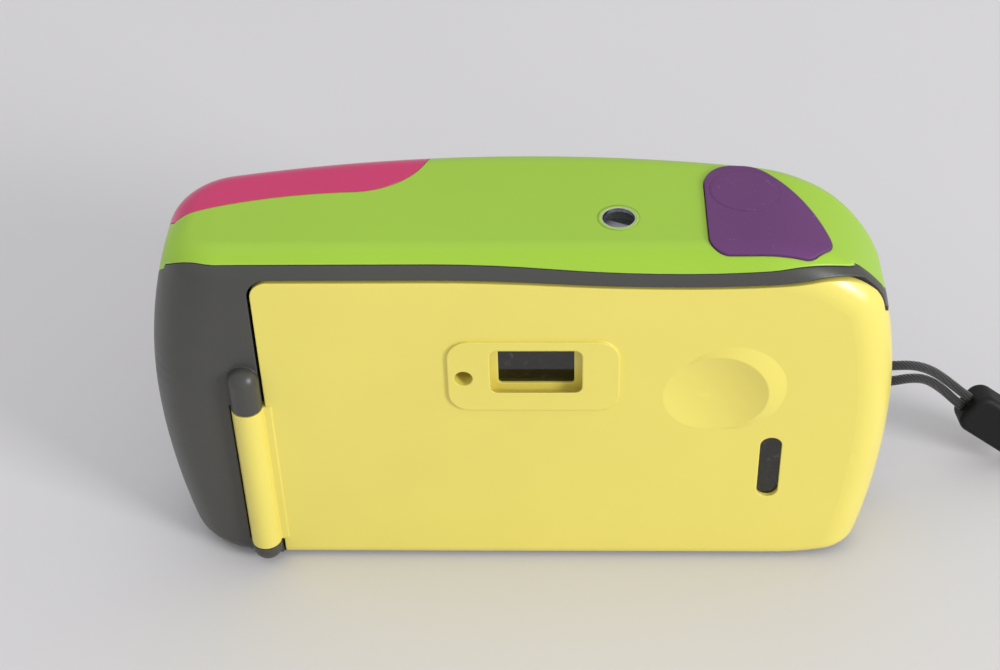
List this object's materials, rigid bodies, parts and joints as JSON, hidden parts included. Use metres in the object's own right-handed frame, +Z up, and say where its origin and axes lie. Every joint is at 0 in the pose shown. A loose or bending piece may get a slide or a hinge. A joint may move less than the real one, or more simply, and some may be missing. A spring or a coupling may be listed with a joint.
{
  "type": "compact film camera",
  "caption": "Weatherproof compact 35 mm film camera with a hinged film door, viewfinder, flash, rubber button pad, chambers for the film and a wrist strap.",
  "frame": {"origin": "mouth of the tripod socket, in the middle of the base", "axes": "+X to the right seen from the back, +Y towards the lens, +Z up"},
  "size_m": [0.2132, 0.0496, 0.075],
  "materials": {
    "door_yellow": "satin yellow plastic with faint handling marks",
    "body_grey": "dark grey semi-gloss plastic",
    "cover_green": "satin green plastic",
    "cover_pink": "satin pink plastic",
    "pad_purple": "fine-grained purple rubber",
    "black": "matte black plastic",
    "black_metal": "blackened smooth metal",
    "steel": "plain steel",
    "bright": "bright metal",
    "clear": "clear glass or clear plastic",
    "smoked": "dark window",
    "lamp_red": "red lens plastic",
    "lamp_green": "dark green lamp plastic",
    "foam": "black light seal foam",
    "battery_skin": "printed film sleeve, left plain",
    "cord_black": "braided black cord"
  },
  "bodies": {
    "camera_body": {"main_body": "body_grey", "case_screws": "steel", "top_cover": "cover_green", "flash_cover": "cover_pink", "flash_window": "clear", "flash_reflector": "bright", "flash_tube": "clear", "front_cover": "body_grey", "window_panel": "smoked", "light_sensor": "clear", "self_timer_lamp": "lamp_red", "lens_barrel": "black", "lens_bezel": "black", "lens_window": "clear", "autofocus_lenses": "clear", "film_chassis": "black", "finder_frame": "black", "cassette_housing": "black", "spool_housing": "black", "flash_shelf": "black", "button_pad": "pad_purple", "counter_window": "clear", "counter_bezel": "bright", "top_deck": "black", "hinge_pin": "steel", "viewfinder_eye_lens": "clear", "viewfinder_front_lens": "clear", "ready_lamp": "lamp_green", "tripod_bush": "steel", "battery": "battery_skin", "battery_contact": "steel", "strap_lug": "black", "strap_cord": "cord_black", "wrist_loop": "cord_black", "strap_slider": "black"},
    "door": {"film_door": "door_yellow", "door_liner": "black", "door_catch": "black", "eyepiece_window": "smoked", "film_window": "smoked", "film_window_seal": "foam", "pressure_spring": "steel"},
    "pressure_plate": {"pressure_plate": "black_metal"},
    "shutter": {"shutter_button": "pad_purple", "shutter_plunger": "black"},
    "counter": {"counter_dial": "black"},
    "sprocket": {"sprocket_wheel": "black"},
    "spool": {"take_up_spool": "black"},
    "fork": {"rewind_fork": "black"},
    "focus": {"focus_cell": "black", "front_lens": "clear", "rear_lens": "clear"},
    "battery_door": {"battery_lid": "body_grey", "lid_contact": "steel"},
    "rewind": {"rewind_button": "black"},
    "latch": {"door_latch": "black"}
  },
  "joints": [
    {"name": "door_hinge", "type": "hinge", "parent": "camera_body", "child": "door", "pos_m": [-0.0521, -0.0193, 0.023], "axis": [0, 0, -1], "range_deg": [0, 115]},
    {"name": "plate_spring", "type": "slide", "parent": "door", "child": "pressure_plate", "axis": [0, -1, 0], "range_m": [0, 0.0006], "stiffness_N_per_m": 400, "springref_m": -0.001, "deforming": ["pressure_spring"]},
    {"name": "shutter_press", "type": "slide", "parent": "camera_body", "child": "shutter", "axis": [0, 0, -1], "range_m": [0, 0.0008], "stiffness_N_per_m": 1500, "springref_m": -0.0006},
    {"name": "sprocket_spin", "type": "hinge", "parent": "camera_body", "child": "sprocket", "pos_m": [-0.0215, -0.0087, 0.026], "axis": [0, 0, 1], "continuous": true},
    {"name": "counter_spin", "type": "hinge", "parent": "camera_body", "child": "counter", "pos_m": [0.0167, -0.0018, 0.0699], "axis": [0, 0, 1], "continuous": true},
    {"name": "spool_spin", "type": "hinge", "parent": "camera_body", "child": "spool", "pos_m": [-0.0366, -0.0046, 0.026], "axis": [0, 0, 1], "continuous": true},
    {"name": "fork_spin", "type": "hinge", "parent": "camera_body", "child": "fork", "pos_m": [0.0457, -0.0046, 0.004], "axis": [0, 0, 1], "continuous": true},
    {"name": "focus_slide", "type": "slide", "parent": "camera_body", "child": "focus", "axis": [0, 1, 0], "range_m": [0, 0.0012]},
    {"name": "battery_door_hinge", "type": "hinge", "parent": "camera_body", "child": "battery_door", "pos_m": [-0.0655, -0.0045, 0.0018], "axis": [0, 1, 0], "range_deg": [0, 100]},
    {"name": "rewind_press", "type": "slide", "parent": "camera_body", "child": "rewind", "axis": [0, 0, 1], "range_m": [0, 0.001], "stiffness_N_per_m": 300, "springref_m": -0.0004},
    {"name": "latch_slide", "type": "slide", "parent": "camera_body", "child": "latch", "axis": [0, 0, 1], "range_m": [0, 0.003], "stiffness_N_per_m": 300, "springref_m": -0.001}
  ],
  "couplings": [
    {"joint": "counter_spin", "follows": "sprocket_spin", "ratio": 0.01875}
  ]
}
